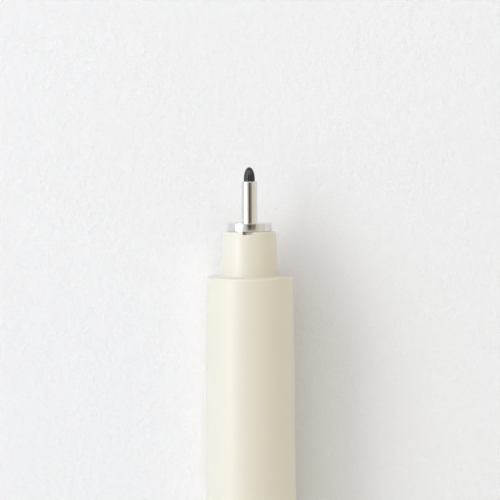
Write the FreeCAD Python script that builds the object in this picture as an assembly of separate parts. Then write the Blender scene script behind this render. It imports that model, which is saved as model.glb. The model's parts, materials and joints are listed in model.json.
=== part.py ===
import FreeCAD, Part
import math
import os

# Felt tip marker, uncapped and standing on the cap posted on its tail, tip up.
# Millimetres. +Z runs along the pen to the tip, the origin is the centre of the
# crown's flat end, and the clip is on the -Y side.

# ---------------------------------------------------------------- clearances
fit_gap = 0.02          # round pieces pressed together for good
running_gap = 0.05      # pieces that turn or slide on each other
seat_gap = 0.05         # faces that meet when the pen is pushed home
slot_gap = 0.1          # clip tongue in its slot, each side

# ---------------------------------------------------------------- barrel
barrel_length = 115.75
barrel_radius = 5.1
barrel_wall = 1.15
taper_length = 33.0     # finger end, from the straight barrel to the shoulder
taper_drop = 0.25
shoulder_rounding = 0.25
tail_drop = 0.15        # step down in radius where the posted cap fits
tail_step = 0.5
tail_rounding = 0.3
rim_wall = 0.85         # wall left round the front section's flange
seat_ledge = 0.3
barrel_rib_count = 6
barrel_rib_width = 0.8
barrel_rib_height = 0.44
barrel_rib_inset = 0.5  # from the tail plug's skirt to the ribs
snap_height = 0.1
snap_length = 0.6

# ---------------------------------------------------------------- front section
neck_length = 5.0
neck_taper = 0.298      # in radius, from the shoulder to the neck's front
neck_rounding = 0.28
neck_root = 0.2
flange_width = 0.785    # from the neck's root to the barrel's rim
flange_thickness = 1.2
plug_length = 14.0
plug_lead = 0.4
spigot_length = 2.0
spigot_step = 0.8       # down in radius from the plug
snap_places = (4.0, 9.5)  # snap beads below the flange
notch_width = 1.0
notch_depth = 0.3
notch_angle = -5.4        # degrees round from -Y
vent_width = 0.3
collar_overhang = 0.14     # collar's edge past the notch's back wall

# ---------------------------------------------------------------- tip
neck_land = 0.477       # neck's front face left bare round the collar
collar_height = 0.9
collar_chamfer = 0.07
collar_countersink = 0.1
collar_ledge = 0.56     # collar's head beyond its shank
shank_length = 3.3
shank_end_gap = 0.2
sleeve_wall = 0.227
sleeve_projection = 4.6
sleeve_insert = 5.0
sleeve_rounding = 0.11
nib_radius = 0.62
nib_projection = 1.57
nib_dome = 1.3

# ---------------------------------------------------------------- ink
wick_radius = 1.2
wick_bore_gap = 0.05
wick_to_sleeve = 2.3
wick_socket = 5.0       # nib inside the wick
wick_overlap = 7.0      # wick inside the reservoir
film_thickness = 0.12
reservoir_end_gap = 0.2

# ---------------------------------------------------------------- tail plug
tail_disc = 2.0
tail_skirt = 2.2
tail_skirt_wall = 0.8
tail_web = 0.8
tail_web_height = 2.0
tail_web_inset = 0.35   # webs inside the reservoir's edge

# ---------------------------------------------------------------- cap
posting_depth = 20.7    # from the cap's mouth to the inner cap
mouth_gap = 0.2         # from the cap's mouth to the barrel's step
mouth_wall = 0.75
mouth_rounding = 0.25
mouth_lead = 0.3
cap_draft = 0.3         # the closed end is this much smaller in radius
cap_end_rounding = 0.25
end_wall = 1.6
ledge_width = 0.45
cap_rib_count = 6
cap_rib_height = 0.15
cap_rib_width = 1.0
cap_rib_inset = 2.5     # from each end of the tail's bore to the ribs
bead_length = 0.3

# ---------------------------------------------------------------- inner cap
inner_floor = 1.0
inner_wall = 0.95
inner_flange = 1.0
seal_slack = 0.035      # neck in the seal, in radius
chamber_step = 0.25
tip_space = 0.53        # free length beyond the nib
inner_rounding = 0.3

# ---------------------------------------------------------------- crown
crown_step = 0.15       # crown inside the cap's edge
crown_thickness = 1.3
crown_rounding = 0.35
stem_inset = 1.3        # stem inside the cap's chamber
stem_reach = 1.4        # beyond the cap's end wall
stem_bead = 0.1

# ---------------------------------------------------------------- clip
clip_width = 3.7
clip_thickness = 0.5
clip_bend = 0.95        # bends are radii of the strip's middle line
barb_bend = 0.3
clip_root_gap = 1.3
clip_end_gap = 1.0
clip_contact_gap = 0.05
clip_end_inset = 3.2    # free end short of the cap's mouth
clip_dip = 2.8          # from the inward bend to the contact
clip_flare = 2.2        # from the contact to the free end
clip_flare_rise = 0.75
clip_soft_bend = 2.0
clip_tip_rounding = 1.4
tongue_width = 2.4
tongue_inset = 0.5      # barb inside the cap's wall
tongue_barb = 0.75
tongue_above_stem = 0.7
inner_cap_above_slot = 1.5

# ---------------------------------------------------------------- places on the axis
slot_low = crown_thickness + end_wall + stem_reach + tongue_above_stem
slot_high = slot_low + clip_thickness + 2 * slot_gap
tongue_height = (slot_low + slot_high) / 2
inner_cap_low = slot_high + inner_cap_above_slot
tip_length = neck_length + collar_height + sleeve_projection + nib_projection
inner_cap_mouth = inner_cap_low + inner_floor + tip_space + tip_length
cap_mouth = inner_cap_mouth + posting_depth
tail = inner_cap_mouth + seat_gap
tail_top = cap_mouth + mouth_gap
shoulder = tail + barrel_length
neck_front = shoulder + neck_length
collar_front = neck_front + collar_height
sleeve_front = collar_front + sleeve_projection
nib_tip = sleeve_front + nib_projection
flange_back = shoulder - flange_thickness
plug_back = flange_back - plug_length
spigot_back = plug_back - spigot_length
reservoir_front = spigot_back - reservoir_end_gap
tail_skirt_front = tail + tail_disc + tail_skirt
reservoir_back = tail_skirt_front + tail_web_height
sleeve_back = collar_front - sleeve_insert
wick_front = sleeve_back - wick_to_sleeve
wick_back = reservoir_front - wick_overlap
nib_back = wick_front - wick_socket

# ---------------------------------------------------------------- radii that fit each other
shoulder_radius = barrel_radius - taper_drop
seat_radius = shoulder_radius - rim_wall
plug_bore = seat_radius - seat_ledge
bore = barrel_radius - barrel_wall
tail_radius = barrel_radius - tail_drop
neck_base_radius = seat_radius - flange_width
neck_front_radius = neck_base_radius - neck_taper
spigot_radius = plug_bore - spigot_step
barrel_rib_crest = bore - barrel_rib_height
film_radius = barrel_rib_crest - fit_gap
reservoir_radius = film_radius - film_thickness - fit_gap
collar_radius = neck_front_radius - neck_land
shank_radius = collar_radius - collar_ledge
shank_bore = shank_radius + fit_gap
wick_bore = wick_radius + wick_bore_gap
sleeve_bore = nib_radius + fit_gap
sleeve_radius = sleeve_bore + sleeve_wall
cap_rib_crest = tail_radius + running_gap
cap_bore = cap_rib_crest + cap_rib_height
cap_mouth_radius = cap_bore + mouth_wall
cap_end_radius = cap_mouth_radius - cap_draft
chamber_radius = cap_bore - ledge_width
crown_radius = cap_end_radius - crown_step
stem_radius = chamber_radius - stem_inset
inner_flange_radius = cap_bore - running_gap
seal_radius = neck_base_radius + seal_slack
inner_chamber = seal_radius - chamber_step
inner_cup_radius = seal_radius + inner_wall

UP = FreeCAD.Vector(0, 0, 1)
ORIGIN = FreeCAD.Vector(0, 0, 0)


def rounded_wire(corners):
    """Closed wire through (point, rounding) corners, with a tangent arc at each rounded one."""
    turns = []
    for place, (corner, rounding) in enumerate(corners):
        to_last = (corners[place - 1][0] - corner).normalize()
        to_next = (corners[(place + 1) % len(corners)][0] - corner).normalize()
        if rounding == 0:
            turns.append((corner, None, corner))
            continue
        half_angle = to_last.getAngle(to_next) / 2
        reach = rounding / math.tan(half_angle)
        inward = (to_last + to_next).normalize()
        middle = corner + inward * (rounding / math.sin(half_angle) - rounding)
        turns.append((corner + to_last * reach, middle, corner + to_next * reach))
    edges = []
    for place, (arrive, middle, leave) in enumerate(turns):
        if middle:
            edges.append(Part.Arc(arrive, middle, leave).toShape())
        edges.append(Part.makeLine(leave, turns[(place + 1) % len(turns)][0]))
    return Part.Wire(edges)


def turned(*outline):
    """Solid of revolution about Z through (radius, height) or (radius, height, rounding) corners."""
    corners = []
    for radius, height, *rounding in outline:
        corners.append((FreeCAD.Vector(radius, 0, height), rounding[0] if rounding else 0))
    solid = Part.Face(rounded_wire(corners)).revolve(ORIGIN, UP, 360)
    if solid.Volume < 0:
        solid.reverse()
    return solid


def cylinder(radius, low, high):
    """Round bar on the pen's axis."""
    return Part.makeCylinder(radius, high - low, FreeCAD.Vector(0, 0, low))


def bar(width, near, far, low, high):
    """Block centred on X = 0 that runs outwards along -Y from near to far."""
    return Part.makeBox(width, far - near, high - low, FreeCAD.Vector(-width / 2, -far, low))


def around(shape, count):
    """Copies of a shape, evenly spaced about the pen's axis."""
    copies = []
    for step in range(count):
        copy = shape.copy()
        copy.rotate(ORIGIN, UP, step * 360 / count)
        copies.append(copy)
    return copies


def bead(radius, height, middle, length):
    """Ring with sloping flanks that stands out from, or cuts into, a round wall."""
    half = length / 2
    return turned(
        (radius - height, middle - half - height),
        (radius, middle - half - height),
        (radius + height, middle - half + height),
        (radius + height, middle + half - height),
        (radius, middle + half + height),
        (radius - height, middle + half + height),
    )


def strip(line, thickness, width):
    """Sheet strip bent along (out, height, rounding) corners, out being measured along -Y."""
    points = [FreeCAD.Vector(0, -out, height) for out, height, rounding in line]
    roundings = [rounding for out, height, rounding in line]
    steps = [(after - before).normalize() for before, after in zip(points, points[1:])]
    normals = [FreeCAD.Vector(0, -step.z, step.y) for step in steps]
    half = thickness / 2
    sides = {1: [], -1: []}
    for place, point in enumerate(points):
        last = normals[max(place - 1, 0)]
        following = normals[min(place, len(normals) - 1)]
        shift = (last + following) * (half / (1 + last.dot(following)))
        bends_to_normal = following.dot(steps[max(place - 1, 0)]) < 0
        for side, corners in sides.items():
            inside = (side == 1) == bends_to_normal
            rounding = roundings[place] + (-half if inside else half) if roundings[place] else 0
            corners.append((point + shift * side, rounding))
    face = Part.Face(rounded_wire(sides[1] + sides[-1][::-1]))
    face.translate(FreeCAD.Vector(-width / 2, 0, 0))
    return face.extrude(FreeCAD.Vector(width, 0, 0))


# ---------------------------------------------------------------- the cap and its pieces
def make_cap_crown():
    wall_top = crown_thickness + end_wall
    stem_top = wall_top + stem_reach
    crown = turned(
        (0, 0),
        (crown_radius, 0, crown_rounding),
        (crown_radius, crown_thickness),
        (stem_radius, crown_thickness),
        (stem_radius, wall_top + fit_gap),
        (stem_radius + stem_bead, wall_top + fit_gap + stem_bead),
        (stem_radius + stem_bead, wall_top + 3 * stem_bead),
        (stem_radius - 2 * stem_bead, stem_top),
        (0, stem_top),
    )
    return crown


def cap_radius_at(height):
    """Outer radius of the drafted cap shell."""
    share = (height - crown_thickness) / (cap_mouth - crown_thickness)
    return cap_end_radius + share * cap_draft


def make_cap_shell():
    wall_top = crown_thickness + end_wall
    ledge = inner_cap_mouth - inner_flange - seat_gap
    stem_hole = stem_radius + fit_gap
    shell = turned(
        (stem_hole, crown_thickness + fit_gap),
        (cap_end_radius, crown_thickness + fit_gap, cap_end_rounding),
        (cap_mouth_radius, cap_mouth, mouth_rounding),
        (cap_bore + mouth_lead, cap_mouth),
        (cap_bore, cap_mouth - 2 * mouth_lead),
        (cap_bore, ledge),
        (chamber_radius, ledge),
        (chamber_radius, wall_top),
        (stem_hole, wall_top),
    )
    rib_low = inner_cap_mouth + cap_rib_inset
    rib_high = cap_mouth - cap_rib_inset
    in_wall = cap_bore + mouth_wall / 2
    rib_ring = cylinder(in_wall, rib_low, rib_high).cut(cylinder(cap_rib_crest, rib_low, rib_high))
    rib_bar = bar(cap_rib_width, cap_rib_crest / 2, cap_mouth_radius, rib_low, rib_high)
    ribs = [rib_ring.common(each) for each in around(rib_bar, cap_rib_count)]
    bead_low = inner_cap_mouth + seat_gap
    slope = cap_bore - cap_rib_crest
    retaining_bead = turned(
        (in_wall, bead_low),
        (cap_bore, bead_low),
        (cap_rib_crest, bead_low + slope),
        (cap_rib_crest, bead_low + slope + bead_length),
        (cap_bore, bead_low + 2 * slope + bead_length),
        (in_wall, bead_low + 2 * slope + bead_length),
    )
    slot = bar(tongue_width + 2 * slot_gap, chamber_radius / 2, cap_mouth_radius, slot_low, slot_high)
    return shell.fuse(ribs + [retaining_bead]).cut(slot).removeSplitter()


def make_inner_cap():
    floor = inner_cap_low + inner_floor
    seal_end = inner_cap_mouth - neck_length - tip_space / 2
    return turned(
        (0, inner_cap_low),
        (inner_cup_radius, inner_cap_low, inner_rounding),
        (inner_cup_radius, inner_cap_mouth - inner_flange),
        (inner_flange_radius, inner_cap_mouth - inner_flange),
        (inner_flange_radius, inner_cap_mouth),
        (seal_radius + inner_rounding, inner_cap_mouth),
        (seal_radius, inner_cap_mouth - inner_rounding),
        (seal_radius, seal_end),
        (inner_chamber, seal_end - chamber_step),
        (inner_chamber, floor, inner_rounding),
        (0, floor),
    )


def make_clip():
    tongue_end = chamber_radius - tongue_inset
    bend_out = cap_radius_at(tongue_height) + clip_root_gap + clip_thickness / 2
    free_end = cap_mouth - clip_end_inset
    contact = free_end - clip_flare
    contact_out = cap_radius_at(contact) + clip_contact_gap + clip_thickness / 2
    dip = contact - clip_dip
    dip_out = cap_radius_at(dip) + clip_end_gap + clip_thickness / 2
    blank = strip(
        [
            (tongue_end, tongue_height - tongue_barb, 0),
            (tongue_end, tongue_height, barb_bend),
            (bend_out, tongue_height, clip_bend),
            (dip_out, dip, clip_soft_bend),
            (contact_out, contact, clip_soft_bend),
            (contact_out + clip_flare_rise, free_end, 0),
        ],
        clip_thickness,
        clip_width,
    )
    half = clip_width / 2
    plan = [
        (FreeCAD.Vector(-half, 0, 0), 0),
        (FreeCAD.Vector(half, 0, 0), 0),
        (FreeCAD.Vector(half, 0, free_end), clip_tip_rounding),
        (FreeCAD.Vector(-half, 0, free_end), clip_tip_rounding),
    ]
    reach = FreeCAD.Vector(0, -2 * bend_out, 0)
    clip = blank.common(Part.Face(rounded_wire(plan)).extrude(reach))
    root = cap_radius_at(tongue_height) + clip_contact_gap
    waist = bar(tongue_width, 0, root, 0, inner_cap_low)
    beside_waist = bar(2 * clip_width, 0, root, 0, inner_cap_low).cut(waist)
    return clip.cut(beside_waist)


# ---------------------------------------------------------------- the pen and its pieces
def snap_rings(radius, height):
    """Snap beads, or the grooves that take them, along the front section's plug."""
    return [bead(radius, height, flange_back - place, snap_length) for place in snap_places]


def make_barrel():
    outside = turned(
        (0, tail),
        (tail_radius, tail, tail_rounding),
        (tail_radius, tail_top),
        (barrel_radius, tail_top + tail_step),
        (barrel_radius, shoulder - taper_length),
        (shoulder_radius, shoulder, shoulder_rounding),
        (0, shoulder),
    )
    hollow = turned(
        (0, tail),
        (bore, tail),
        (bore, plug_back),
        (plug_bore, plug_back + bore - plug_bore),
        (plug_bore, flange_back),
        (seat_radius, flange_back),
        (seat_radius, shoulder),
        (0, shoulder),
    )
    rib_low = tail_skirt_front + barrel_rib_inset
    rib_high = reservoir_front
    rib = bar(barrel_rib_width, barrel_rib_crest, bore + barrel_wall / 2, rib_low, rib_high)
    ribs = around(rib, barrel_rib_count)
    tail_groove = bead(bore, snap_height, tail + tail_disc, snap_length)
    grooves = snap_rings(plug_bore, snap_height) + [tail_groove]
    return outside.cut([hollow] + grooves).fuse(ribs).removeSplitter()


def make_front_section():
    plug = plug_bore - fit_gap
    body = turned(
        (0, neck_front),
        (neck_front_radius, neck_front, neck_rounding),
        (neck_base_radius, shoulder, neck_root),
        (seat_radius - fit_gap, shoulder),
        (seat_radius - fit_gap, flange_back),
        (plug, flange_back),
        (plug, plug_back + plug_lead),
        (plug - plug_lead / 2, plug_back),
        (spigot_radius, plug_back),
        (spigot_radius, spigot_back),
        (0, spigot_back),
    )
    shank_seat = neck_front - shank_length - shank_end_gap
    core = turned(
        (0, neck_front),
        (shank_bore, neck_front),
        (shank_bore, shank_seat),
        (wick_bore, shank_seat),
        (wick_bore, spigot_back),
        (0, spigot_back),
    )
    notch_floor = neck_front - notch_depth
    notch_back = collar_radius - collar_overhang
    notch = bar(notch_width, notch_back, neck_base_radius, notch_floor, neck_front)
    vent = bar(vent_width, wick_bore, notch_back + fit_gap, shank_seat, neck_front)
    vent.translate(FreeCAD.Vector((vent_width - notch_width) / 2, 0, 0))
    air_inlet = notch.fuse(vent)
    air_inlet.rotate(ORIGIN, UP, notch_angle)
    snaps = snap_rings(plug, snap_height - fit_gap)
    return body.fuse(snaps).cut([core, air_inlet]).removeSplitter()


def make_nib_collar():
    bore_radius = sleeve_radius + fit_gap
    return turned(
        (bore_radius, neck_front - shank_length),
        (shank_radius, neck_front - shank_length),
        (shank_radius, neck_front + fit_gap),
        (collar_radius, neck_front + fit_gap),
        (collar_radius, collar_front - collar_chamfer),
        (collar_radius - collar_chamfer, collar_front),
        (bore_radius + collar_countersink, collar_front),
        (bore_radius, collar_front - collar_countersink),
    )


def make_nib_sleeve():
    return turned(
        (sleeve_bore, sleeve_back),
        (sleeve_radius, sleeve_back),
        (sleeve_radius, sleeve_front, sleeve_rounding),
        (sleeve_bore, sleeve_front, sleeve_rounding / 2),
    )


def make_nib():
    """Round rod whose writing end is half of an ellipse turned about the axis."""
    dome_base = nib_tip - nib_dome
    middle = FreeCAD.Vector(0, 0, dome_base)
    side = FreeCAD.Vector(nib_radius, 0, dome_base)
    dome = Part.Ellipse(FreeCAD.Vector(0, 0, nib_tip), side, middle)
    corners = [
        FreeCAD.Vector(nib_radius, 0, dome_base),
        FreeCAD.Vector(nib_radius, 0, nib_back),
        FreeCAD.Vector(0, 0, nib_back),
        FreeCAD.Vector(0, 0, nib_tip),
    ]
    edges = [Part.makeLine(start, end) for start, end in zip(corners, corners[1:])]
    quarter = dome.toShape(dome.parameter(corners[-1]), dome.parameter(corners[0]))
    profile = Part.Wire(Part.__sortEdges__(edges + [quarter]))
    nib = Part.Face(profile).revolve(ORIGIN, UP, 360)
    if nib.Volume < 0:
        nib.reverse()
    return nib


def make_feed_wick():
    socket = cylinder(nib_radius + fit_gap, nib_back, wick_front)
    return cylinder(wick_radius, wick_back, wick_front).cut(socket)


def make_reservoir_core():
    socket = cylinder(wick_radius + fit_gap, wick_back, reservoir_front)
    return cylinder(reservoir_radius, reservoir_back, reservoir_front).cut(socket)


def make_reservoir_film():
    inside = cylinder(reservoir_radius + fit_gap, reservoir_back, reservoir_front)
    return cylinder(film_radius, reservoir_back, reservoir_front).cut(inside)


def make_tail_plug():
    radius = bore - fit_gap
    disc_front = tail + tail_disc
    body = turned(
        (0, tail),
        (radius, tail, tail_rounding),
        (radius, tail_skirt_front),
        (radius - tail_skirt_wall, tail_skirt_front),
        (radius - tail_skirt_wall, disc_front),
        (0, disc_front),
    )
    web_reach = reservoir_radius - tail_web_inset
    web = bar(tail_web, -web_reach, web_reach, disc_front, reservoir_back)
    snap = bead(radius, snap_height - fit_gap, disc_front, snap_length)
    return body.fuse(around(web, 4)[:2] + [snap]).removeSplitter()


pieces = {
    "cap_crown": make_cap_crown(),
    "cap_shell": make_cap_shell(),
    "inner_cap": make_inner_cap(),
    "clip": make_clip(),
    "barrel": make_barrel(),
    "front_section": make_front_section(),
    "nib_collar": make_nib_collar(),
    "nib_sleeve": make_nib_sleeve(),
    "nib": make_nib(),
    "feed_wick": make_feed_wick(),
    "reservoir_core": make_reservoir_core(),
    "reservoir_film": make_reservoir_film(),
    "tail_plug": make_tail_plug(),
}

os.makedirs("parts", exist_ok=True)
for name, shape in pieces.items():
    if not shape.isValid() or len(shape.Solids) != 1 or shape.Volume <= 0:
        raise ValueError(f"{name} is not one sound solid")
    shape.exportStep(f"parts/{name}.step")
    box = shape.BoundBox
    print(f"{name}: {shape.Volume:.2f} mm3, z {box.ZMin:.2f} to {box.ZMax:.2f}, radius {box.XMax:.2f}")
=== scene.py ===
import json
import math

import bmesh
import bpy
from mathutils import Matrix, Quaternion, Vector

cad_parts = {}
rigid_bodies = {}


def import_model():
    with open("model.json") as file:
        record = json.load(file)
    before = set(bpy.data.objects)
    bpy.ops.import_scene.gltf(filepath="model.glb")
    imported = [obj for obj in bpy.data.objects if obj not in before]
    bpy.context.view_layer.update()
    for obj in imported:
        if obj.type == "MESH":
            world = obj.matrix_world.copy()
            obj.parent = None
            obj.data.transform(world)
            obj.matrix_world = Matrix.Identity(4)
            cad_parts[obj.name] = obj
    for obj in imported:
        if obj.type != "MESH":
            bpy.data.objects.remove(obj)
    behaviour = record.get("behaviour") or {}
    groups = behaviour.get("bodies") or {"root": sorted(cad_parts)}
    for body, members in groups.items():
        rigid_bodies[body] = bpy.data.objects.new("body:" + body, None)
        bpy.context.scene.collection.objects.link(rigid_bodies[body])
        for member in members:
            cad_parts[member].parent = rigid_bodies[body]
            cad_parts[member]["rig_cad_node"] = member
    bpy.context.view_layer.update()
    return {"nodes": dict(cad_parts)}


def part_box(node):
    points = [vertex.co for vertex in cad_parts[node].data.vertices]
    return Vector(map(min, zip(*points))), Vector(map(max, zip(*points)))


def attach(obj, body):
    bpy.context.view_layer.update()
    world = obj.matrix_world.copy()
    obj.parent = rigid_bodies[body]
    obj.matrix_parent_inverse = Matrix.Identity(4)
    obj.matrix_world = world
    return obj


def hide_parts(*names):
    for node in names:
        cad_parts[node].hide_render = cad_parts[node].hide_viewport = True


# A felt tip marker standing on its posted cap, tip up, in front of a pale paper wall.
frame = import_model()

MM = 0.001
NEAR = 0.003 * MM       # two heights or radii closer than this are the same ring

# ------------------------------------------------------------------ sizes taken from the frame
nib_low, nib_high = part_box("nib")
sleeve_low, sleeve_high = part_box("nib_sleeve")
collar_low, collar_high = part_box("nib_collar")
section_low, section_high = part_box("front_section")
barrel_low, barrel_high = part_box("barrel")
cap_low, cap_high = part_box("cap_shell")
crown_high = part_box("cap_crown")[1]
plug_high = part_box("tail_plug")[1]

nib_radius = nib_high.x
sleeve_radius = sleeve_high.x
collar_radius = collar_high.x
flange_radius = section_high.x
barrel_radius = barrel_high.x
cap_radius = cap_high.x
crown_radius = crown_high.x

tip = nib_high.z
sleeve_front = sleeve_high.z
collar_front = collar_high.z
neck_front = section_high.z
shoulder = barrel_high.z
tail = barrel_low.z
cap_mouth = cap_high.z
cap_end = cap_low.z

# ------------------------------------------------------------------ sizes of the shapes themselves
touch_gap = 0.02 * MM   # between pieces that touch
small_edge = 0.03 * MM  # rounding of edges that only look sharp

nib_dome = 1.3 * MM
nib_dome_steps = 14
nib_flutes = 16
flute_depth = 0.03      # share of the nib's radius
sleeve_bore = 0.64 * MM
sleeve_rounding = 0.11 * MM
collar_chamfer = 0.035 * MM
shank_radius = 1.88 * MM
shank_length = 3.3 * MM
countersink = 0.1 * MM

neck_front_radius = 2.917 * MM
neck_base_radius = 3.215 * MM
neck_rounding = 0.28 * MM
neck_root = 0.2 * MM
flange_thickness = 1.2 * MM
neck_plug_radius = 3.68 * MM
neck_plug_rounding = 0.3 * MM
notch_width = 1.0 * MM
notch_depth = 0.3 * MM
notch_turn = math.radians(-5.4)
notch_back = 2.15 * MM
notch_lean = 0.48 * MM
notch_corner = 0.08 * MM
vent_width = 0.3 * MM
vent_depth = 0.6 * MM

shoulder_radius = 4.85 * MM
shoulder_rounding = 0.25 * MM
taper_length = 33.0 * MM
seat_radius = 4.0 * MM
seat_edge = 0.04 * MM
seat_step = 0.2 * MM
bore = 3.95 * MM
tail_radius = 4.95 * MM
tail_rounding = 0.3 * MM
tail_length = 20.85 * MM
tail_step = 0.5 * MM
plug_radius = 3.93 * MM
plug_rounding = 0.3 * MM
plug_dish = 0.25 * MM
plug_dish_radius = 1.1 * MM
plug_dish_edge = 0.1 * MM

cap_end_radius = 5.6 * MM
cap_bore = 5.15 * MM
cap_chamber = 4.7 * MM
cap_ledge = 19.75 * MM
cap_end_wall = 1.6 * MM
cap_rounding = 0.25 * MM
mouth_lead = 0.3 * MM
clip_slot_width = 2.6 * MM
clip_slot_low = 5.0 * MM
clip_slot_high = 5.7 * MM
clip_edge = 0.08 * MM
grip_ribs = 6
grip_rib_width = 1.0 * MM
grip_rib_crest = 5.0 * MM
grip_rib_low = 23.3 * MM
grip_rib_high = 39.0 * MM
grip_rib_edge = 0.06 * MM
grip_rib_sunk = 0.05 * MM
stem_radius = 3.4 * MM
crown_thickness = 1.3 * MM
crown_rounding = 0.35 * MM
crown_dish = 0.15 * MM
crown_dish_edge = 0.2 * MM

# ------------------------------------------------------------------ the picture
pixels_across = 500
pixel = 0.1105 * MM
lens = 180.0
sensor = 36.0
view_elevation = math.radians(3.0)
aim_below_tip = 9.155 * MM
aim_right = 0.04 * MM
view_roll = math.radians(0.27)


class Value:
    """A shader value: sums and products of it add Math nodes."""

    def __init__(self, tree, socket):
        self.tree = tree
        self.socket = socket

    def math(self, operation, *terms):
        node = self.tree.nodes.new("ShaderNodeMath")
        node.operation = operation
        for socket, term in zip(node.inputs, terms):
            if isinstance(term, Value):
                self.tree.links.new(term.socket, socket)
            else:
                socket.default_value = term
        return Value(self.tree, node.outputs[0])

    def __add__(self, other):
        return self.math("ADD", self, other)

    def __radd__(self, other):
        return self.math("ADD", other, self)

    def __sub__(self, other):
        return self.math("SUBTRACT", self, other)

    def __mul__(self, other):
        return self.math("MULTIPLY", self, other)

    def __truediv__(self, other):
        return self.math("DIVIDE", self, other)

    def __pow__(self, other):
        return self.math("POWER", self, other)


class Finish:
    """One material and its node tree."""

    def __init__(self, name):
        self.material = bpy.data.materials.new(name)
        self.material.use_nodes = True
        self.tree = self.material.node_tree
        self.tree.nodes.clear()

    def node(self, kind, settings=None, sockets=None, output=0):
        """Adds any node: its settings first, then the values or links of its sockets."""
        made = self.tree.nodes.new("ShaderNode" + kind)
        for name, value in (settings or {}).items():
            if name == "stops":
                stops = made.color_ramp.elements
                while len(stops) < len(value):
                    stops.new(1.0)
                for stop, (place, shade) in zip(stops, value):
                    stop.position = place
                    stop.color = shade
            else:
                setattr(made, name, value)
        for name, value in (sockets or {}).items():
            socket = made.inputs[name]
            if isinstance(value, Value):
                self.tree.links.new(value.socket, socket)
            else:
                socket.default_value = value
        return Value(self.tree, made.outputs[output]) if made.outputs else None

    def place(self):
        """Object coordinates in millimetres."""
        coordinates = self.node("TexCoord", output=3)
        return self.node("VectorMath", {"operation": "SCALE"}, {0: coordinates, "Scale": 1 / MM})

    def split(self, vector):
        """The three parts of a vector."""
        return [self.node("SeparateXYZ", None, {0: vector}, output) for output in range(3)]

    def stretched(self, vector, x, y, z):
        """A vector with its parts scaled apart."""
        return self.node("VectorMath", {"operation": "MULTIPLY"}, {0: vector, 1: (x, y, z)})

    def noise(self, vector, scale, detail=4.0, roughness=0.5):
        """Cloudy pattern from 0 to 1."""
        sockets = {"Vector": vector, "Scale": scale, "Detail": detail, "Roughness": roughness}
        return self.node("TexNoise", None, sockets)

    def ramp(self, value, low, high):
        """0 below one value, 1 above the other, smooth between."""
        sockets = {"Value": value, "From Min": low, "From Max": high}
        return self.node("MapRange", {"interpolation_type": "SMOOTHSTEP"}, sockets)

    def mix(self, share, first, second):
        """Colours mixed by a share from 0 to 1."""
        made = self.tree.nodes.new("ShaderNodeMix")
        made.data_type = "RGBA"
        for socket, value in zip((made.inputs[0], made.inputs[6], made.inputs[7]), (share, first, second)):
            if isinstance(value, Value):
                self.tree.links.new(value.socket, socket)
            else:
                socket.default_value = value
        return Value(self.tree, made.outputs[2])

    def surface(self, sockets, height=None, depth=0.0):
        """Ends the material in a Principled surface, with an optional relief of that depth."""
        if height is not None:
            sockets["Normal"] = self.node("Bump", None, {"Height": height, "Distance": depth})
        shader = self.node("BsdfPrincipled", None, sockets)
        self.node("OutputMaterial", None, {"Surface": shader})
        return self.material


def rgb(red, green, blue):
    """A linear colour."""
    return (red, green, blue, 1.0)


# ------------------------------------------------------------------ modelling by hand
def deselect():
    """Leaves edit mode with nothing selected."""
    if bpy.context.object and bpy.context.object.mode != "OBJECT":
        bpy.ops.object.mode_set(mode="OBJECT")
    bpy.ops.object.select_all(action="DESELECT")


def edit(piece):
    """Opens a piece in edit mode."""
    deselect()
    piece.select_set(True)
    bpy.context.view_layer.objects.active = piece
    bpy.ops.object.mode_set(mode="EDIT")


def choose(piece, kind, test):
    """Selects, in edit mode, the vertices or the edges that pass a test."""
    bpy.ops.mesh.select_mode(type=kind)
    bpy.ops.mesh.select_all(action="DESELECT")
    mesh = bmesh.from_edit_mesh(piece.data)
    for part in mesh.verts if kind == "VERT" else mesh.edges:
        if test(part):
            part.select_set(True)
    mesh.select_flush_mode()
    bmesh.update_edit_mesh(piece.data)


def on_ring(radius, height):
    """Test for an edge that lies in the ring of that radius and height."""
    def test(edge):
        return all(
            abs(vertex.co.z - height) < NEAR and abs(math.hypot(vertex.co.x, vertex.co.y) - radius) < NEAR
            for vertex in edge.verts
        )
    return test


def turned(name, outline, sides, closed=False):
    """Turned piece: one circle extruded through (radius, height, rounding) rings.

    An outline that starts or ends on the axis is capped there, and a closed one is a tube.
    """
    rings = [ring[:2] for ring in outline]
    starts_on_axis = rings[0][0] == 0
    first = int(starts_on_axis)
    radius, height = rings[first]
    deselect()
    bpy.ops.mesh.primitive_circle_add(vertices=sides, radius=radius, location=(0, 0, height))
    piece = bpy.context.object
    piece.name = name
    bpy.ops.object.transform_apply()
    edit(piece)
    if starts_on_axis:
        bpy.ops.mesh.select_all(action="SELECT")
        bpy.ops.mesh.extrude_region_move(TRANSFORM_OT_translate={"value": (0, 0, rings[0][1] - height)})
        bpy.ops.mesh.merge(type="CENTER")
        choose(piece, "EDGE", on_ring(radius, height))
    else:
        bpy.ops.mesh.select_all(action="SELECT")
    for next_radius, next_height in rings[first + 1:]:
        bpy.ops.mesh.extrude_region_move(TRANSFORM_OT_translate={"value": (0, 0, next_height - height)})
        if next_radius == 0:
            bpy.ops.mesh.merge(type="CENTER")
            break
        share = next_radius / radius
        bpy.ops.transform.resize(value=(share, share, 1), center_override=(0, 0, next_height))
        radius, height = next_radius, next_height
    if closed:
        start, end = on_ring(*rings[0]), on_ring(*rings[-1])
        choose(piece, "EDGE", lambda edge: start(edge) or end(edge))
        bpy.ops.mesh.bridge_edge_loops()
    for place, ring in enumerate(outline):
        if len(ring) == 3:
            round_ring(piece, outline, place)
    bpy.ops.mesh.select_all(action="SELECT")
    bpy.ops.mesh.normals_make_consistent(inside=False)
    deselect()
    return piece


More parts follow.
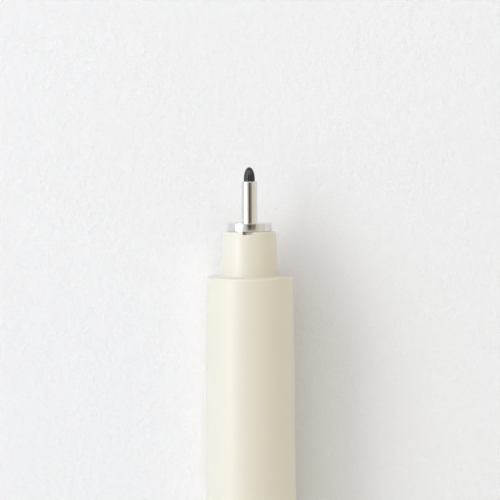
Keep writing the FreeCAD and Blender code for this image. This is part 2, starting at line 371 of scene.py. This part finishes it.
def round_ring(piece, outline, place):
    """Rounds one ring of a turned piece with an arc that is tangent to both sides."""
    corner = Vector(outline[place][:2])
    before = (Vector(outline[place - 1][:2]) - corner).normalized()
    after = (Vector(outline[(place + 1) % len(outline)][:2]) - corner).normalized()
    reach = outline[place][2] / math.tan(before.angle(after) / 2)
    choose(piece, "EDGE", on_ring(*corner))
    bpy.ops.mesh.bevel(offset=reach, segments=8, affect="EDGES", profile=0.5)


def apply(piece, modifier):
    """Applies a modifier, so that the piece is plain mesh."""
    deselect()
    piece.select_set(True)
    bpy.context.view_layer.objects.active = piece
    bpy.ops.object.modifier_apply(modifier=modifier.name)


def carve(piece, tool):
    """Cuts a tool's shape out of a piece and throws the tool away."""
    cut = piece.modifiers.new("cut", "BOOLEAN")
    cut.operation = "DIFFERENCE"
    cut.object = tool
    cut.solver = "EXACT"
    apply(piece, cut)
    bpy.data.objects.remove(tool)


def smooth(piece):
    """Shades a piece smooth except over its sharp edges."""
    deselect()
    piece.select_set(True)
    bpy.context.view_layer.objects.active = piece
    bpy.ops.object.shade_smooth_by_angle(angle=math.radians(30))
    deselect()


def block(name, width, depth, height, centre):
    """Plain block, the start of a piece or a cutting tool."""
    deselect()
    bpy.ops.mesh.primitive_cube_add(size=1, location=centre)
    made = bpy.context.object
    made.name = name
    made.scale = (width, depth, height)
    bpy.ops.object.transform_apply()
    return made


# ------------------------------------------------------------------ finishes
def cream_plastic(name):
    """Satin moulded plastic in warm cream, a little uneven in colour and gloss."""
    finish = Finish(name)
    place = finish.place()
    cloud = finish.noise(place, 0.12, 3.0)
    grain = finish.noise(place, 9.0, 5.0, 0.6)
    peel = finish.noise(finish.stretched(place, 1.0, 1.0, 0.45), 1.6, 2.0)
    scuffs = finish.ramp(finish.noise(finish.stretched(place, 6.0, 6.0, 0.5), 1.4, 6.0, 0.7), 0.60, 0.78)
    pale = rgb(0.709, 0.670, 0.560)
    deep = rgb(0.681, 0.637, 0.520)
    colour = finish.mix(cloud * 0.8 + grain * 0.2, pale, deep)
    colour = finish.mix(scuffs * 0.08, colour, rgb(0.62, 0.57, 0.48))
    roughness = 0.45 + cloud * 0.06 + grain * 0.06 + scuffs * 0.10
    relief = peel * 0.75 + grain * 0.25 - scuffs * 0.10
    sockets = {
        "Base Color": colour,
        "Roughness": roughness,
        "IOR": 1.5,
        "Coat Weight": 0.9,
        "Coat Roughness": 0.36,
        "Subsurface Weight": 0.25,
        "Subsurface Radius": (1.0, 0.7, 0.35),
        "Subsurface Scale": 0.8 * MM,
    }
    return finish.surface(sockets, relief, 0.006 * MM)


def ink_plastic(name):
    """Charcoal moulded plastic with a soft gloss."""
    finish = Finish(name)
    place = finish.place()
    cloud = finish.noise(place, 0.4, 3.0)
    grain = finish.noise(place, 14.0, 5.0, 0.6)
    wear = finish.ramp(finish.noise(place, 2.2, 8.0, 0.7), 0.62, 0.80)
    colour = finish.mix(cloud, rgb(0.018, 0.018, 0.021), rgb(0.030, 0.029, 0.033))
    colour = finish.mix(wear * 0.35, colour, rgb(0.09, 0.088, 0.09))
    roughness = 0.30 + grain * 0.12 + wear * 0.2
    sockets = {"Base Color": colour, "Roughness": roughness, "IOR": 1.5}
    return finish.surface(sockets, grain, 0.008 * MM)


def natural_plastic(name):
    """Unpigmented, slightly milky plastic of the parts that stay out of sight."""
    finish = Finish(name)
    place = finish.place()
    cloud = finish.noise(place, 0.5, 3.0)
    grain = finish.noise(place, 12.0, 4.0, 0.6)
    colour = finish.mix(cloud, rgb(0.80, 0.79, 0.74), rgb(0.72, 0.71, 0.66))
    sockets = {"Base Color": colour, "Roughness": 0.42 + grain * 0.14, "IOR": 1.5}
    return finish.surface(sockets, grain, 0.010 * MM)


def turned_steel(name):
    """Polished steel with the faint rings that turning leaves round it."""
    finish = Finish(name)
    x, y, z = finish.split(finish.place())
    radius = (x * x + y * y) ** 0.5
    rings = finish.noise(finish.node("CombineXYZ", None, {"X": radius, "Z": z}), 28.0, 4.0, 0.6)
    cloud = finish.noise(finish.place(), 0.9, 4.0, 0.6)
    colour = finish.mix(cloud, rgb(0.80, 0.775, 0.745), rgb(0.74, 0.715, 0.685))
    roughness = 0.08 + rings * 0.07 + cloud * 0.05
    sockets = {"Base Color": colour, "Metallic": 1.0, "Roughness": roughness}
    return finish.surface(sockets, rings, 0.0007 * MM)


def drawn_steel(name):
    """Polished tube with fine lines along it from drawing."""
    finish = Finish(name)
    place = finish.place()
    lines = finish.noise(finish.stretched(place, 14.0, 14.0, 0.35), 1.0, 5.0, 0.6)
    cloud = finish.noise(place, 1.2, 4.0, 0.6)
    colour = finish.mix(cloud, rgb(0.81, 0.785, 0.75), rgb(0.75, 0.725, 0.69))
    roughness = 0.08 + lines * 0.07 + cloud * 0.04
    sockets = {"Base Color": colour, "Metallic": 1.0, "Roughness": roughness}
    return finish.surface(sockets, lines, 0.0012 * MM)


def brushed_steel(name):
    """Spring steel strip, brushed along its length."""
    finish = Finish(name)
    place = finish.place()
    lines = finish.noise(finish.stretched(place, 16.0, 16.0, 0.25), 1.0, 6.0, 0.7)
    cloud = finish.noise(place, 0.5, 4.0, 0.6)
    scratches = finish.noise(finish.stretched(place, 5.0, 5.0, 0.3), 1.7, 8.0, 0.75)
    scratches = finish.ramp(scratches, 0.62, 0.74)
    colour = finish.mix(lines * 0.6 + cloud * 0.4, rgb(0.66, 0.65, 0.64), rgb(0.50, 0.49, 0.48))
    roughness = 0.24 + lines * 0.14 + scratches * 0.12
    relief = lines * 0.7 - scratches * 0.3
    sockets = {"Base Color": colour, "Metallic": 1.0, "Roughness": roughness}
    return finish.surface(sockets, relief, 0.003 * MM)


def inked_felt(name):
    """Pressed fibre soaked with black ink: fine fibres that run along the nib."""
    finish = Finish(name)
    place = finish.place()
    fibres = finish.noise(finish.stretched(place, 9.0, 9.0, 0.8), 1.0, 6.0, 0.65)
    bundles = finish.noise(finish.stretched(place, 3.2, 3.2, 0.25), 1.0, 3.0, 0.5)
    pores = finish.noise(place, 14.0, 4.0, 0.7)
    colour = finish.mix(fibres, rgb(0.002, 0.002, 0.0024), rgb(0.012, 0.0115, 0.013))
    roughness = 0.10 + pores * 0.15
    relief = bundles * 0.55 + fibres * 0.35 + pores * 0.10
    sockets = {"Base Color": colour, "Roughness": roughness, "Specular IOR Level": 0.65}
    return finish.surface(sockets, relief, 0.010 * MM)


def ink_fibre(name):
    """The ink store's bonded fibres, soaked black."""
    finish = Finish(name)
    place = finish.place()
    fibres = finish.noise(finish.stretched(place, 6.0, 6.0, 0.4), 1.0, 6.0, 0.7)
    colour = finish.mix(fibres, rgb(0.010, 0.010, 0.013), rgb(0.05, 0.05, 0.058))
    sockets = {"Base Color": colour, "Roughness": 0.6 + fibres * 0.3}
    return finish.surface(sockets, fibres, 0.04 * MM)


def clear_film(name):
    """Thin wrap round the ink store, greyed by the ink behind it."""
    finish = Finish(name)
    creases = finish.noise(finish.stretched(finish.place(), 2.0, 2.0, 0.3), 1.0, 5.0, 0.6)
    colour = finish.mix(creases, rgb(0.16, 0.16, 0.17), rgb(0.26, 0.26, 0.27))
    sockets = {"Base Color": colour, "Roughness": 0.15 + creases * 0.15}
    return finish.surface(sockets, creases, 0.02 * MM)


# ------------------------------------------------------------------ the pen's pieces
def make_nib():
    """Bullet nib: a rod whose end is half an ellipse, pressed into shallow flutes."""
    dome_base = tip - nib_dome
    rings = [(0, nib_low.z), (nib_radius, nib_low.z), (nib_radius, dome_base)]
    for step in range(1, nib_dome_steps):
        angle = step / nib_dome_steps * math.pi / 2
        rings.append((nib_radius * math.cos(angle), dome_base + nib_dome * math.sin(angle)))
    rings.append((0, tip))
    piece = turned("felt_nib", rings, nib_flutes * 8)
    edit(piece)
    for flute in range(nib_flutes):
        middle = math.tau * (flute + 0.3 * math.sin(5 * flute)) / nib_flutes
        depth = flute_depth * (1 + (flute * 5 % 7) / 7)
        for reach, share in ((0.09, 0.4), (0.045, 0.6)):
            choose(piece, "VERT", in_flute(middle, reach))
            scale = 1 - depth * share
            bpy.ops.transform.resize(value=(scale, scale, 1), center_override=(0, 0, tip))
    deselect()
    return piece


def in_flute(middle, reach):
    """Test for a vertex that lies within an angle of a flute's middle, off the axis."""
    def test(vertex):
        x, y, _ = vertex.co
        turn = math.atan2(y, x) - middle
        return math.hypot(x, y) > NEAR and abs(math.remainder(turn, math.tau)) < reach
    return test


def make_sleeve():
    """Steel tube round the nib, with a rounded rim."""
    return turned(
        "steel_sleeve",
        [
            (sleeve_bore, sleeve_low.z),
            (sleeve_radius, sleeve_low.z),
            (sleeve_radius, sleeve_front, sleeve_rounding),
            (sleeve_bore, sleeve_front, sleeve_rounding / 2),
        ],
        96,
        closed=True,
    )


def make_collar():
    """Steel collar: a disc on a shank that runs down inside the neck."""
    collar_bore = sleeve_radius + touch_gap
    collar_back = collar_low.z + shank_length + touch_gap
    return turned(
        "steel_collar",
        [
            (collar_bore, collar_low.z),
            (shank_radius, collar_low.z),
            (shank_radius, collar_back),
            (collar_radius, collar_back, small_edge),
            (collar_radius, collar_front, collar_chamfer),
            (collar_bore + countersink, collar_front),
            (collar_bore, collar_front - countersink),
        ],
        160,
        closed=True,
    )


def make_front_section():
    """Tapered neck and the flange that sits in the barrel's mouth, with the air notch in its rim."""
    flange_back = shoulder - flange_thickness
    plug_back = section_low.z
    shank_bore = shank_radius + touch_gap
    piece = turned(
        "front_neck",
        [
            (shank_bore, plug_back),
            (neck_plug_radius, plug_back, neck_plug_rounding),
            (neck_plug_radius, flange_back),
            (flange_radius, flange_back),
            (flange_radius, shoulder, small_edge),
            (neck_base_radius, shoulder, neck_root),
            (neck_front_radius, neck_front, neck_rounding),
            (shank_bore, neck_front),
        ],
        192,
        closed=True,
    )
    for tool in (make_notch_tool(), make_vent_tool()):
        edit(tool)
        bpy.ops.mesh.select_all(action="SELECT")
        bpy.ops.transform.rotate(value=-notch_turn, orient_axis="Z", center_override=(0, 0, 0))
        deselect()
        carve(piece, tool)
    return piece


def make_notch_tool():
    """Block that cuts the notch. Its right side leans outwards, so that the notch's corner is soft."""
    reach = 2 * MM
    centre = (0, -(notch_back + reach / 2), neck_front)
    notch = block("notch_tool", notch_width, reach, 2 * notch_depth, centre)
    edit(notch)
    choose(notch, "VERT", lambda vertex: vertex.co.x > 0 and vertex.co.z > neck_front)
    bpy.ops.transform.translate(value=(notch_lean, 0, 0))

    def along_floor(edge):
        first, second = (vertex.co for vertex in edge.verts)
        return max(first.z, second.z) < neck_front and abs(first.x - second.x) < NEAR
    choose(notch, "EDGE", along_floor)
    bpy.ops.mesh.bevel(offset=notch_corner, segments=4, affect="EDGES")
    deselect()
    return notch


def make_vent_tool():
    """Block that cuts the vent down beside the collar's shank, at the notch's left end."""
    past_shank = 0.2 * MM
    vent_middle = (notch_back + shank_radius) / 2
    centre = ((vent_width - notch_width) / 2, -vent_middle, neck_front - shank_length / 2)
    return block("vent_tool", vent_width, vent_depth, shank_length + past_shank, centre)


def make_barrel():
    """Barrel with its stepped tail, its long taper and the seat for the neck's flange."""
    return turned(
        "pen_barrel",
        [
            (bore, tail),
            (tail_radius, tail, tail_rounding),
            (tail_radius, tail + tail_length),
            (barrel_radius, tail + tail_length + tail_step),
            (barrel_radius, shoulder - taper_length),
            (shoulder_radius, shoulder, shoulder_rounding),
            (seat_radius, shoulder, seat_edge),
            (seat_radius, shoulder - flange_thickness),
            (bore, shoulder - flange_thickness - seat_step),
        ],
        192,
        closed=True,
    )


def make_tail_plug():
    """Plug in the barrel's tail, with a dished middle."""
    return turned(
        "tail_disc",
        [
            (0, tail + plug_dish),
            (plug_dish_radius, tail + plug_dish),
            (plug_dish_radius + 2 * plug_dish_edge, tail, plug_dish_edge),
            (plug_radius, tail, plug_rounding),
            (plug_radius, plug_high.z),
            (0, plug_high.z),
        ],
        128,
    )


# ------------------------------------------------------------------ the cap's pieces
def make_cap_shell():
    """Tapered sleeve of the cap, with an end wall and the slot that the clip's tongue goes through."""
    stem_hole = stem_radius + touch_gap
    wall_top = crown_thickness + cap_end_wall
    sleeve = turned(
        "cap_sleeve",
        [
            (stem_hole, cap_end),
            (cap_end_radius, cap_end, cap_rounding),
            (cap_radius, cap_mouth, cap_rounding),
            (cap_bore + mouth_lead, cap_mouth),
            (cap_bore, cap_mouth - 2 * mouth_lead),
            (cap_bore, cap_ledge),
            (cap_chamber, cap_ledge),
            (cap_chamber, wall_top),
            (stem_hole, wall_top),
        ],
        192,
        closed=True,
    )
    centre = (0, -cap_radius, (clip_slot_low + clip_slot_high) / 2)
    slot = block("slot_tool", clip_slot_width, cap_chamber, clip_slot_high - clip_slot_low, centre)
    carve(sleeve, slot)
    return sleeve


def make_grip_rib():
    """One rib of the cap's bore, with its long edges rounded."""
    root = cap_bore + grip_rib_sunk
    middle = (grip_rib_low + grip_rib_high) / 2
    centre = (0, -(root + grip_rib_crest) / 2, middle)
    rib = block("grip_rib", grip_rib_width, root - grip_rib_crest, grip_rib_high - grip_rib_low, centre)
    edit(rib)
    choose(rib, "EDGE", lambda each: all(abs(vertex.co.y + grip_rib_crest) < NEAR for vertex in each.verts))
    bpy.ops.mesh.bevel(offset=grip_rib_edge, segments=4, affect="EDGES")
    bpy.ops.mesh.select_all(action="SELECT")
    bpy.ops.mesh.normals_make_consistent(inside=False)
    deselect()
    return rib


def copied_round(piece, count):
    """The piece and its copies, evenly spaced round the pen's axis."""
    copies = [piece]
    for place in range(1, count):
        deselect()
        piece.select_set(True)
        bpy.context.view_layer.objects.active = piece
        bpy.ops.object.duplicate(linked=False)
        copy = bpy.context.object
        copy.name = f"{piece.name}_{place + 1}"
        turn = 2 * math.pi * place / count
        bpy.ops.transform.rotate(value=turn, orient_axis="Z", center_override=(0, 0, 0))
        bpy.ops.object.transform_apply()
        copies.append(copy)
    return copies


def make_crown():
    """Crown disc with a shallow dished middle, and the stem that holds it."""
    return turned(
        "crown_disc",
        [
            (0, crown_dish),
            (crown_radius * 0.55, crown_dish),
            (crown_radius * 0.62, 0, crown_dish_edge),
            (crown_radius, 0, crown_rounding),
            (crown_radius, crown_thickness),
            (stem_radius, crown_thickness),
            (stem_radius, crown_high.z),
            (0, crown_high.z),
        ],
        160,
    )


def make_clip():
    """The strip of the frame, with its sheared edges rounded over as tumbling leaves them."""
    deselect()
    strip = frame["nodes"]["clip"]
    strip.select_set(True)
    bpy.context.view_layer.objects.active = strip
    bpy.ops.object.duplicate(linked=False)
    piece = bpy.context.object
    piece.name = "pocket_clip"
    del piece["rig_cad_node"]
    edit(piece)
    bpy.ops.mesh.select_all(action="SELECT")
    bpy.ops.mesh.remove_doubles(threshold=NEAR)
    bpy.ops.mesh.dissolve_limited(angle_limit=math.radians(1))
    bpy.ops.mesh.select_all(action="SELECT")
    bpy.ops.mesh.normals_make_consistent(inside=False)
    deselect()
    rounding = piece.modifiers.new("rounding", "BEVEL")
    rounding.width = clip_edge
    rounding.segments = 3
    rounding.limit_method = "ANGLE"
    rounding.angle_limit = math.radians(40)
    apply(piece, rounding)
    return piece


# ------------------------------------------------------------------ put together
def fit(piece, finish, body, slot, *nodes):
    """Gives a piece its finish and its body, and hides the frame's nodes that it takes the place of."""
    smooth(piece)
    piece.data.materials.clear()
    piece.data.materials.append(finish)
    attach(piece, body)
    if nodes:
        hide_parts(*nodes)


cream = cream_plastic("cream_plastic")
fit(make_nib(), inked_felt("inked_felt"), "pen", "inked_felt", "nib")
fit(make_sleeve(), drawn_steel("drawn_steel"), "pen", "tip_steel", "nib_sleeve")
fit(make_collar(), turned_steel("turned_steel"), "pen", "tip_steel", "nib_collar")
fit(make_front_section(), cream, "pen", "section_plastic", "front_section")
fit(make_barrel(), cream, "pen", "cream_plastic", "barrel")
fit(make_tail_plug(), ink_plastic("ink_plastic"), "pen", "ink_colour_plastic", "tail_plug")
fit(make_cap_shell(), cream, "cap", "cream_plastic", "cap_shell")
fit(make_crown(), bpy.data.materials["ink_plastic"], "cap", "ink_colour_plastic", "cap_crown")
for rib in copied_round(make_grip_rib(), grip_ribs):
    fit(rib, cream, "cap", "cream_plastic")
fit(make_clip(), brushed_steel("brushed_steel"), "clip", "clip_steel", "clip")

# the parts out of sight keep the shapes of the frame and get better finishes
hidden = {
    "inner_cap": natural_plastic("natural_plastic"),
    "feed_wick": ink_fibre("ink_fibre"),
    "reservoir_core": bpy.data.materials["ink_fibre"],
    "reservoir_film": clear_film("clear_film"),
}
for node, finish in hidden.items():
    slots = frame["nodes"][node].data.materials
    slots.clear()
    slots.append(finish)


# ------------------------------------------------------------------ studio
def paper(name, one_sided):
    """Pale drawing paper; a one-sided sheet is seen only from its front."""
    finish = Finish(name)
    place = finish.place()
    fibres = finish.noise(finish.stretched(place, 1.0, 1.0, 0.7), 1.3, 5.0, 0.6)
    flecks = finish.noise(place, 4.0, 4.0, 0.6)
    colour = finish.mix(fibres * 0.7 + flecks * 0.3, rgb(0.82, 0.82, 0.82), rgb(0.785, 0.785, 0.785))
    relief = finish.node("Bump", None, {"Height": fibres + flecks * 0.25, "Distance": 0.12 * MM})
    sheet = finish.node("BsdfPrincipled", None, {"Base Color": colour, "Roughness": 0.9, "Normal": relief})
    if one_sided:
        behind = finish.node("NewGeometry", output=6)
        clear = finish.node("BsdfTransparent")
        sheet = finish.node("MixShader", None, {0: behind, 1: sheet, 2: clear})
    finish.node("OutputMaterial", None, {"Surface": sheet})
    return finish.material


def make_stage():
    """Floor of paper under the pen and a wall of paper close behind it."""
    deselect()
    bpy.ops.mesh.primitive_plane_add(size=6, location=(0, 0, 0))
    floor = bpy.context.object
    floor.name = "floor"
    floor.data.materials.append(paper("floor_paper", False))
    wall_place = cap_high.y + 0.1 * MM
    bpy.ops.mesh.primitive_plane_add(size=6, location=(0, wall_place, 3), rotation=(math.radians(90), 0, 0))
    wall = bpy.context.object
    wall.name = "wall"
    wall.data.materials.append(paper("wall_paper", True))


def make_soft_box(name, azimuths, elevations, radiance, colour):
    """Soft box that fills a window of the sky. Azimuth 0 is the camera's side, more is to its left."""
    distance = 1.1
    turn, rise = (math.radians(sum(span) / 2) for span in (azimuths, elevations))
    towards = Vector((-math.sin(turn) * math.cos(rise), -math.cos(turn) * math.cos(rise), math.sin(rise)))
    place = Vector((0, 0, shoulder)) + towards * distance
    width, height = across(azimuths, distance), across(elevations, distance)
    make_lamp(name, place, towards, width, height, radiance, colour)


def across(angles, distance):
    """Width that fills a span of degrees at a distance."""
    return 2 * distance * math.tan(math.radians(angles[1] - angles[0]) / 2)


def make_lamp(name, place, back, width, height, radiance, colour):
    """Rectangular lamp of even radiance, with its dark back towards the given side."""
    deselect()
    bpy.ops.object.light_add(type="AREA", location=place)
    lamp = bpy.context.object
    lamp.name = name
    lamp.rotation_mode = "QUATERNION"
    lamp.rotation_quaternion = back.to_track_quat("Z", "Y")
    lamp.data.shape = "RECTANGLE"
    lamp.data.size = width
    lamp.data.size_y = height
    lamp.data.energy = radiance * math.pi * width * height
    lamp.data.color = colour
    return lamp


def make_bounce(name, beside, heights, back, width, radiance, colour):
    """Faint upright strip, for the light that the pen throws back on the paper behind it."""
    low, high = heights
    place = Vector((*beside, (low + high) / 2))
    strip = make_lamp(name, place, Vector(back), width, high - low, radiance, colour)
    strip.visible_camera = False
    strip.visible_glossy = False


def make_world():
    """Dim room, cool on the left, darker and warmer on the right."""
    world = bpy.data.worlds.new("studio")
    bpy.context.scene.world = world
    world.use_nodes = True
    tree = world.node_tree
    tree.nodes.clear()
    coordinates = tree.nodes.new("ShaderNodeTexCoord")
    parts = tree.nodes.new("ShaderNodeSeparateXYZ")
    tree.links.new(coordinates.outputs["Generated"], parts.inputs[0])
    rightwards = Value(tree, parts.outputs[0]) * 0.5 + 0.5
    mix = tree.nodes.new("ShaderNodeMix")
    mix.data_type = "RGBA"
    tree.links.new(rightwards.socket, mix.inputs[0])
    mix.inputs[6].default_value = rgb(0.88, 1.00, 1.12)
    mix.inputs[7].default_value = rgb(0.48, 0.455, 0.41)
    background = tree.nodes.new("ShaderNodeBackground")
    background.inputs["Strength"].default_value = 0.70
    tree.links.new(mix.outputs[2], background.inputs["Color"])
    output = tree.nodes.new("ShaderNodeOutputWorld")
    tree.links.new(background.outputs[0], output.inputs[0])


def glowing(finish, shade):
    """Black surface that glows in the given shade."""
    sockets = {
        "Base Color": rgb(0, 0, 0),
        "Specular IOR Level": 0.0,
        "Emission Color": shade,
        "Emission Strength": 1.0,
    }
    return finish.surface(sockets)


def hang(card, finish):
    """Gives a studio card its finish, hides it from the camera and keeps it from throwing a shadow."""
    card.data.materials.append(finish)
    card.visible_camera = False
    card.visible_shadow = False
    card.visible_transmission = False


def make_dark_side():
    """Shaded card behind the camera that gives the polished steel its dark streak."""
    distance = 1.3
    left, right = (distance * math.tan(math.radians(turn)) for turn in (-35, 36))
    deselect()
    centre = ((left + right) / 2, -distance, shoulder)
    bpy.ops.mesh.primitive_plane_add(size=1, location=centre, rotation=(math.radians(90), 0, 0))
    card = bpy.context.object
    card.name = "dark_card"
    card.scale = (right - left, 0.4, 1)
    bpy.ops.object.transform_apply(location=True, rotation=True, scale=True)
    finish = Finish("dark_card")
    x = finish.split(finish.node("TexCoord", output=3))[0]
    stops = [
        (0.0, rgb(1.1, 1.1, 1.08)),
        (0.39, rgb(0.32, 0.30, 0.27)),
        (0.43, rgb(0.05, 0.04, 0.03)),
        (0.58, rgb(0.05, 0.04, 0.03)),
        (0.61, rgb(0.23, 0.185, 0.135)),
        (1.0, rgb(0.26, 0.21, 0.16)),
    ]
    share = (x - left) / (right - left)
    shade = finish.node("ValToRGB", {"stops": stops}, {"Fac": share})
    hang(card, glowing(finish, shade))


def make_reflection(name, azimuths, shade):
    """Pale card that only the steel and the gloss of the plastic mirror. Azimuths as for a soft box."""
    distance = 1.0
    turn = math.radians(sum(azimuths) / 2)
    width = across(azimuths, distance)
    towards = Vector((-math.sin(turn), -math.cos(turn), 0))
    deselect()
    bpy.ops.mesh.primitive_plane_add(size=1, rotation=(math.radians(90), 0, -turn))
    card = bpy.context.object
    card.name = name
    card.scale = (width, 0.6, 1)
    card.location = Vector((0, 0, shoulder + 0.1)) + towards * distance
    bpy.ops.object.transform_apply(location=True, rotation=True, scale=True)
    hang(card, glowing(Finish(name), shade))
    card.visible_diffuse = False


def make_camera():
    """Long lens at the height of the tip, almost level."""
    aim = Vector((aim_right, 0, tip - aim_below_tip))
    back = Vector((0, -math.cos(view_elevation), math.sin(view_elevation)))
    distance = pixels_across * pixel * lens / sensor
    deselect()
    bpy.ops.object.camera_add(location=aim + back * distance)
    camera = bpy.context.object
    camera.rotation_mode = "QUATERNION"
    camera.rotation_quaternion = Quaternion(back, -view_roll) @ back.to_track_quat("Z", "Y")
    camera.data.lens = lens
    camera.data.sensor_width = sensor
    camera.data.clip_start = 0.01
    bpy.context.scene.camera = camera


make_stage()
make_world()
make_dark_side()
make_soft_box("key_light", (40, 62), (-10, 50), 3.75, (0.985, 1.015, 1.055))
make_soft_box("side_light", (62, 82), (-10, 50), 0.85, (0.97, 0.98, 1.45))
make_soft_box("front_fill", (-25, 30), (20, 60), 0.78, (1.06, 0.98, 0.96))
left_edge = (-barrel_radius, barrel_radius * 0.6)
tip_start = neck_front - 2 * MM
make_bounce("bounce", left_edge, (cap_mouth, tip_start), (0.6, -0.8, 0), 3 * MM, 0.35, (1.06, 0.96, 0.78))
make_bounce("tip_bounce", (0, 1.5 * MM), (tip_start, tip - 1 * MM), (0, -1, 0), 4 * MM, 0.28, (1, 1, 1))
make_soft_box("right_card", (-90, -31), (-8, 50), 0.54, (1.09, 0.93, 0.58))
make_reflection("left_reflection", (62, 84), rgb(1.45, 1.46, 1.48))
make_reflection("near_reflection", (-50, -32), rgb(0.65, 0.62, 0.57))
make_reflection("right_reflection", (-90, -50), rgb(0.77, 0.745, 0.70))
make_camera()

scene = bpy.context.scene
scene.view_settings.view_transform = "Standard"
scene.view_settings.look = "None"
